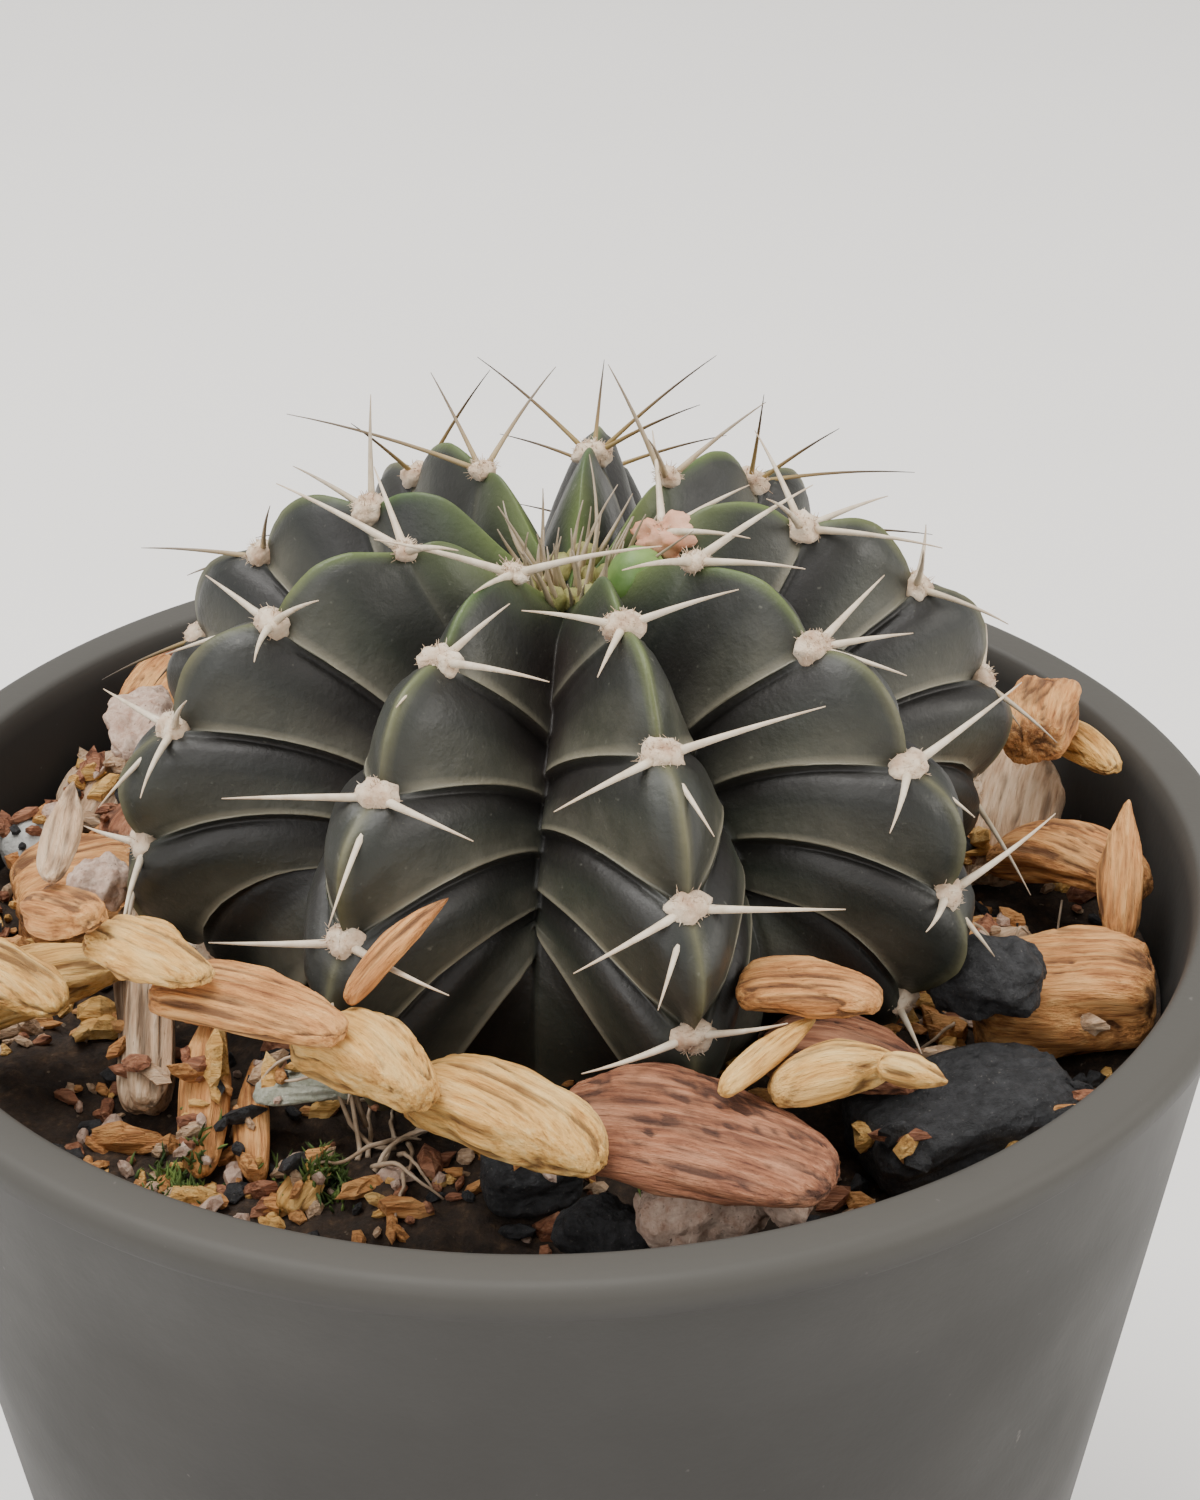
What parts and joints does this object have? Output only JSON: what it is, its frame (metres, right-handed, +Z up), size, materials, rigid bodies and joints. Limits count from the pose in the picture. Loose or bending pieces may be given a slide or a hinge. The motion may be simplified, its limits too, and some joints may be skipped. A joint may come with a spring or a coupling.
{
  "type": "potted chin cactus",
  "caption": "Round ribbed chin cactus with woolly areoles and curved spines, in a tapered dark plastic pot with a loose bark, charcoal and pumice top dressing.",
  "frame": {"origin": "centre of the pot's base, on the surface that it stands on", "axes": "+Z up along the pot's axis; -Y is the front, as the picture sees it; +X is to the right of that view"},
  "size_m": [0.1, 0.1, 0.1188],
  "materials": {
    "pot": "satin",
    "cactus": "satin",
    "potting_mix": "matte",
    "bark": "matte",
    "yellow_bark": "matte",
    "red_bark": "matte",
    "tan_bark": "matte",
    "charcoal": "matte",
    "pumice": "matte",
    "pebble": "satin",
    "lichen": "matte"
  },
  "bodies": {
    "root": {"back_piece_01": "bark", "back_piece_02": "yellow_bark", "back_piece_03": "red_bark", "back_piece_04": "charcoal", "back_piece_05": "bark", "back_piece_06": "pumice", "back_piece_07": "bark", "back_piece_08": "yellow_bark", "back_piece_09": "red_bark", "back_piece_10": "charcoal", "back_piece_11": "bark", "back_piece_12": "pumice", "bark_bit_right": "tan_bark", "bark_block_left": "bark", "bark_block_right": "bark", "bark_block_small_left": "red_bark", "brown_stick_left": "bark", "cactus": "cactus", "charcoal_front": "charcoal", "charcoal_large": "charcoal", "charcoal_mossy": "charcoal", "charcoal_upper": "charcoal", "grey_flake_left": "lichen", "leaf_bit_left": "yellow_bark", "orange_chip_right": "bark", "orange_flake_front_1": "bark", "orange_flake_front_2": "yellow_bark", "orange_flake_front_3": "bark", "orange_flake_right": "bark", "orange_sliver_1": "bark", "orange_sliver_2": "bark", "orange_spike_right": "bark", "orange_strip_right": "yellow_bark", "pale_strip_beside": "tan_bark", "pale_strip_long": "tan_bark", "pebble_left": "pebble", "pot": "pot", "potting_mix": "potting_mix", "pumice_front": "pumice", "pumice_left": "pumice", "pumice_small": "pumice", "red_bark_left": "red_bark", "red_flake_large": "red_bark", "red_flake_small": "red_bark", "red_piece_upright": "red_bark", "sliver_upright_front": "bark", "stick_front_right": "yellow_bark", "stick_left": "tan_bark", "tan_flake_left": "tan_bark", "tan_leaf_right": "tan_bark", "yellow_bit_right": "yellow_bark", "yellow_chip_front": "yellow_bark", "yellow_chip_knuckle": "yellow_bark", "yellow_chip_left_1": "yellow_bark", "yellow_chip_left_2": "yellow_bark", "yellow_chip_right": "yellow_bark"}
  },
  "joints": []
}
